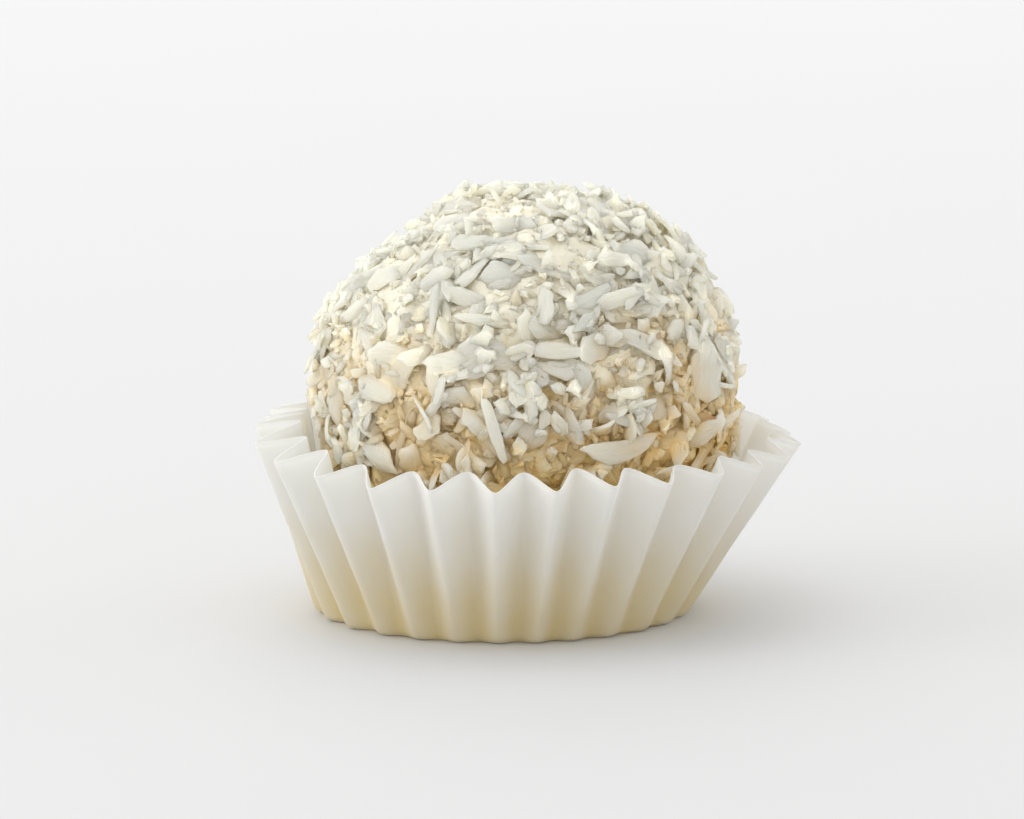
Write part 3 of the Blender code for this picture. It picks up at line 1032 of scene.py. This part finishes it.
def coconut_finish(name, darkest=COCONUT_CREAM):
    finish = Finish(name)
    low = finish.attribute("low")
    # Painted light and shade: flakes are made whiter at the top of the ball and creamier low on it, partly
    # also cream that coats them there.
    tone = finish.attribute("tone") + WHITER_HIGH - CREAMIER_AND_SHADED_LOW * low
    proud = finish.attribute("proud") - SOAK_AND_SHADE_LOW * low
    grain = finish.attribute("grain", "Vector")
    fibres = finish.noise(finish.stretched(grain, (FIBRE_DRAW, 1.0, 1.0)), FIBRES_ACROSS)
    stains = finish.noise(grain, STAIN_SCALE)
    ivory = finish.blend(tone.step(*CREAM_TO_IVORY), darkest, COCONUT_IVORY)
    face = finish.blend((tone + (stains - 0.5) * STAINED).step(*IVORY_TO_WHITE), ivory, COCONUT_WHITE)
    # Painted light: the thin edges of the whiter flakes are painted whiter, as a glow.
    edge = finish.attribute("edge").step(EDGE_FROM, 1.0) * tone.step(*EDGE_TONES) * EDGE_GLOW_SHARE
    pale = finish.blend(edge, face, PAINTED_EDGE_GLOW)
    # Painted shade and cream: the parts of a flake that lie deep among the others, low over the coating, are
    # made warm.
    soak_and_shade = 1.0 - (proud + (stains - 0.5) * UNEVEN_SOAK_AND_SHADE).step(*SOAK_AND_SHADE_TO_DRY)
    # The colour of that painted shade and soaked-up cream, deeper low on the ball.
    cream = finish.blend(low, SOAK_AND_SHADE_PALE, SOAK_AND_SHADE_DEEP)
    surface = finish.node("ShaderNodeBsdfPrincipled", {"subsurface_method": "BURLEY"}, {
        "Base Color": finish.blend(soak_and_shade, pale, cream),
        "Roughness": FLESH_ROUGHNESS + FLESH_ROUGHENED * fibres,
        "IOR": FLESH_IOR,
        "Subsurface Weight": FLESH_SCATTER,
        "Subsurface Radius": FLESH_REACH,
        "Subsurface Scale": FLESH_DEPTH,
        "Normal": finish.bump(fibres, FIBRE_RELIEF),
    })
    return finish.show(finish.light_through(surface, FLESH_THROUGH, FLESH_LIGHT))


CHIP_TONES = (0.55, 1.0)
CHIP_BREAK_SEED = 21
coconut = coconut_finish("dried_coconut")
chip_mesh = joined_flakes("coconut_chips", chips, CHIP_TONES, CHIP_BLOCK, random.Random(CHIP_BREAK_SEED))
new_piece("coconut_chips", chip_mesh, coconut, "praline", BROKEN_EDGE)

# %% [markdown]
# Between the large chips lie broken flakes, narrow shreds, crumbs and fine meal, and some flakes
# stand on edge and make the outline ragged. Each kind becomes one piece, so its table also says
# how many are drawn, their tones from cream to white, their block and the seed of their draws.

# %% Smaller flakes, shreds, crumbs and meal
BROKEN_FLAKES = flake_kind(
    length=(1.6, 3.2), width=(0.8, 1.6), thickness=(0.40, 0.70), slimness=0.8,
    taper=(0.0, 0.35), skew=0.30, curl=(0.0, 0.20), twist=16.0,
    level=(0.20, 0.85), tilt=24.0,
    count=1200, tones=(0.25, 1.0), block=FLAKE_BLOCK, seed=31,
)
SMALL_FLAKES = flake_kind(
    length=(1.0, 2.2), width=(0.5, 1.2), thickness=(0.40, 0.65), slimness=0.9,
    taper=(0.0, 0.35), skew=0.35, curl=(0.0, 0.12), twist=16.0,
    level=(0.25, 0.90), tilt=26.0,
    count=1800, tones=(0.1, 0.9), block=CRUMB_BLOCK, seed=36,
)
STANDING_FLAKES = flake_kind(
    length=(1.8, 3.2), width=(0.6, 1.5), thickness=(0.40, 0.60), slimness=0.8,
    taper=(0.05, 0.50), skew=0.30, curl=(0.0, 0.35), twist=18.0,
    level=(0.40, 1.50), tilt=44.0, steepest=58.0,
    count=240, tones=(0.4, 1.0), block=FLAKE_BLOCK, seed=33,
)
SHREDS = flake_kind(
    length=(2.4, 4.8), width=(0.45, 0.85), thickness=(0.45, 0.65), slimness=0.5,
    taper=(0.10, 0.60), skew=0.20, curl=(0.05, 0.55), twist=25.0,
    level=(0.25, 1.00), tilt=12.0,
    count=220, tones=(0.3, 1.0), block=CHIP_BLOCK, seed=41,
)
CRUMBS = flake_kind(
    length=(0.5, 1.3), width=(0.4, 0.9), thickness=(0.45, 0.90), slimness=1.0,
    taper=(0.0, 0.7), skew=0.35, curl=(0.0, 0.06), twist=20.0,
    level=(0.20, 0.80), tilt=40.0,
    count=1700, tones=(0.0, 0.7), block=CRUMB_BLOCK, seed=51,
)
MEAL = flake_kind(
    length=(0.35, 0.90), width=(0.30, 0.70), thickness=(0.40, 0.75), slimness=1.0,
    taper=(0.0, 0.6), skew=0.3, curl=(0.0, 0.0), twist=0.0,
    level=(0.42, 0.85), tilt=40.0,
    count=3000, tones=(0.0, 0.4), block=MEAL_BLOCK, seed=56,
)
SMALLER_KINDS = {
    "broken_flakes": BROKEN_FLAKES,
    "standing_flakes": STANDING_FLAKES,
    "small_flakes": SMALL_FLAKES,
    "coconut_shreds": SHREDS,
    "coconut_crumbs": CRUMBS,
    "coconut_meal": MEAL,
}
print("to draw:", {name: kind["count"] for name, kind in SMALLER_KINDS.items()})

# %% [markdown]
# The smaller flakes fill the coat so that little of the cream shows at the top, and leave more of
# it bare low on the ball, where handling has rubbed some off, and in a few spots at the front. They
# also stick to each other in heaps, with hollows between them, so slow noise over the ball raises
# some and thins out others. It also paints those on the heaps whiter and those in the hollows
# creamier, which is painted light and shade.

# %% Heaps, and places where the coating shows
HEAP_SIZE = 3.0 * MM
HEAP_HEIGHT = 1.1 * MM
HEAP_LIGHT_AND_SHADE = 0.8
THINNED_IN_HOLLOWS = 0.9
BARE_IN_SPOTS = 0.75
BARE_LOW = 0.40
BARE_ABOVE = 0.6
BARE_ON_CHIP = 0.50
CHIP_MARGIN = 0.1 * MM
# How far to the right of the ball's middle each spot is, how far above it, and its radius, in mm.
BARE_SPOTS = (
    (-6.8, 1.2, 0.9),
    (-5.2, 3.4, 0.6),
    (-12.0, 3.6, 0.8),
    (-7.4, -0.8, 1.1),
    (-6.8, -3.0, 1.1),
    (-9.5, -2.2, 0.9),
    (-3.9, -3.6, 0.9),
    (2.2, -0.6, 0.8),
    (2.4, -3.0, 0.8),
    (0.6, -4.2, 0.8),
    (8.8, 3.9, 1.0),
    (5.6, 1.6, 0.7),
    (4.8, 9.7, 1.0),
    (10.2, 8.0, 0.9),
    (9.8, -2.6, 0.8),
    (12.3, -0.9, 0.9),
    (-0.4, 3.8, 0.5),
)


def heaping(direction):
    """Above 0 where the flakes lie in heaps, and below 0 in the hollows between."""
    return noise.noise(direction * (CORE_RADIUS / HEAP_SIZE))


def lies_on(chip, direction):
    """Whether something in that direction would lie on a large chip."""
    offset = (direction - chip["direction"]) * CORE_RADIUS
    side = chip["direction"].cross(chip["heading"]).normalized()
    along = abs(offset.dot(side.cross(chip["direction"])))
    across = abs(offset.dot(side))
    return along < 0.5 * chip["length"] + CHIP_MARGIN and across < 0.5 * chip["width"] + CHIP_MARGIN


def stays(flake, draw):
    """Whether a small flake stays: fewer do low on the ball, in a hollow, on a front chip or a bare spot."""
    direction = flake["direction"]
    chance = BARE_LOW * (BARE_ABOVE - direction.z) - THINNED_IN_HOLLOWS * heaping(direction)
    if any(lies_on(chip, direction) for chip in chips[:len(FRONT_CHIPS)]):
        chance = max(chance, BARE_ON_CHIP)
    for right, up, size in BARE_SPOTS:
        if (direction - front_direction(right, up)).length * CORE_RADIUS < size * MM:
            chance = max(chance, BARE_IN_SPOTS)
    return draw.random() >= chance


print("spots at the front with fewer flakes:", len(BARE_SPOTS))

# %% [markdown]
# Each kind is drawn, thinned out and heaped, and then joined in its piece. Meal is too fine for
# heaps, and lies all over the coating.

# %% Add the smaller kinds
def add_kind(name, kind):
    """A piece of scattered flakes of a kind."""
    draw = random.Random(kind["seed"])
    flakes = scattered(kind, kind["count"], draw)
    if kind is not MEAL:
        flakes = [flake for flake in flakes if stays(flake, draw)]
        for flake in flakes:
            flake["level"] += HEAP_HEIGHT * heaping(flake["direction"])
            # Painted light on the heaps and painted shade in the hollows.
            flake["whiteness"] = HEAP_LIGHT_AND_SHADE * heaping(flake["direction"])
    mesh = joined_flakes(name, flakes, kind["tones"], kind["block"], draw)
    new_piece(name, mesh, coconut, "praline", BROKEN_EDGE)


for name, kind in SMALLER_KINDS.items():
    add_kind(name, kind)

# %% [markdown]
# A few crumbs have toasted to caramel. The one that the eye finds first, low at the right, and
# three fainter ones are placed one by one, as the chips were, and a dozen are scattered over the ball.

# %% Toasted specks
CARAMEL = colour(206, 150, 92)
TOASTED_AT_FRONT = (
    (12.3, -1.7, 10, 1.6, 1.2),
    (9.0, 3.6, 60, 1.2, 0.9),
    (2.2, -3.6, 20, 1.1, 0.8),
    (-5.0, 3.6, 80, 1.0, 0.7),
)
TOASTED_ELSEWHERE = 12
TOAST_RISE = 0.4 * MM
TOAST_TONES = (0.0, 0.5)
TOAST_SEED = 61
toast_draw = random.Random(TOAST_SEED)
toasted = front_flakes(CRUMBS, TOASTED_AT_FRONT, toast_draw)
for speck in toasted:
    speck["level"] += TOAST_RISE
toasted += scattered(CRUMBS, TOASTED_ELSEWHERE, toast_draw)
toasted_mesh = joined_flakes("toasted_specks", toasted, TOAST_TONES, CRUMB_BLOCK, toast_draw)
toasted_finish = coconut_finish("toasted_coconut", CARAMEL)
new_piece("toasted_specks", toasted_mesh, toasted_finish, "praline", BROKEN_EDGE)

# %% [markdown]
# ## Floor, light and camera
#
# The photo is high key: a white sweet before white, under a wide soft light from above and a
# little behind, with less light from the front. So the top of the ball is the brightest, and its
# lower half is warm and a little darker.
#
# The floor is a wide matt board, so that it runs on behind the sweet with no edge in view. A glossy
# one would mirror the lights behind it as a white patch.

# %% Floor
FLOOR_SIZE = 6.0
BOARD_DARK = colour(211, 211, 211)
BOARD_PALE = colour(215, 215, 215)
BOARD_ROUGHNESS = 0.9
BOARD_SHINE = 0.1
MOTTLE_SCALE = 9.0


def white_floor():
    mesh = bpy.data.meshes.new("floor")
    shape = bmesh.new()
    bmesh.ops.create_grid(shape, x_segments=1, y_segments=1, size=FLOOR_SIZE / 2)
    shape.to_mesh(mesh)
    shape.free()
    floor = in_scene("floor", mesh)
    finish = Finish("white_board")
    mottle = finish.noise(finish.place(), MOTTLE_SCALE)
    surface = finish.node("ShaderNodeBsdfPrincipled", None, {
        "Base Color": finish.blend(mottle, BOARD_DARK, BOARD_PALE),
        "Roughness": BOARD_ROUGHNESS,
        "Specular IOR Level": BOARD_SHINE,
    })
    mesh.materials.append(finish.show(surface))


white_floor()
print("floor:", FLOOR_SIZE, "m square")

# %% [markdown]
# A sky of one even tone gives light from all sides. An area light over a metre wide, at the upper
# left and a little behind, adds the light from above, with no edge to its shadows. A second one,
# lower and further back, lights the board behind the sweet and comes through the back of the
# paper case. Two small weak ones, low on the left and at the right, stand for white cards that
# throw some of that light back on the sides of the sweet and its case.

# %% Light
VIEW_TARGET = Vector((0.6 * MM, 0.0, 14.0 * MM))
SKY_BRIGHTNESS = 0.94
# The name of each light, its width, its power in watts, and its place.
LIGHTS = (
    ("softbox", 1.2, 2.9, (-0.5, 0.15, 0.8)),
    ("back_light", 0.6, 1.8, (-0.1, 0.8, 0.4)),
    ("left_card", 0.25, 0.34, (-0.4, -0.1, 0.12)),
    ("right_card", 0.25, 0.20, (0.35, 0.25, 0.10)),
)


def aim(obj, target):
    """Turns a light or a camera, which look down their own -Z, towards a point."""
    obj.rotation_euler = (target - obj.location).to_track_quat("-Z", "Y").to_euler()


def even_sky():
    sky = bpy.data.worlds.new("studio")
    bpy.context.scene.world = sky
    sky.use_nodes = True
    sky.node_tree.nodes["Background"].inputs["Color"].default_value = (1.0, 1.0, 1.0, 1.0)
    sky.node_tree.nodes["Background"].inputs["Strength"].default_value = SKY_BRIGHTNESS


def area_light(name, size, power, place):
    lamp = bpy.data.lights.new(name, "AREA")
    lamp.size = size
    lamp.energy = power
    light = in_scene(name, lamp)
    light.location = place
    aim(light, VIEW_TARGET)


even_sky()
for row in LIGHTS:
    area_light(*row)
bpy.context.scene.view_settings.view_transform = "Standard"
print("lights:", len(LIGHTS), "and an even sky")

# %% [markdown]
# The camera looks down by ten degrees, as the photo's does. A long lens from far off keeps the
# near and far rims of the case almost as wide as each other.

# %% Camera
VIEW_DISTANCE = 0.6
VIEW_WIDTH = 0.071

lens = bpy.data.cameras.new("camera")
lens.lens = lens.sensor_width * VIEW_DISTANCE / VIEW_WIDTH
camera = in_scene("camera", lens)
back_and_up = Vector((0.0, -math.cos(FRONT_ELEVATION), math.sin(FRONT_ELEVATION)))
camera.location = VIEW_TARGET + VIEW_DISTANCE * back_and_up
aim(camera, VIEW_TARGET)
bpy.context.scene.camera = camera
print("lens:", round(lens.lens), "mm")
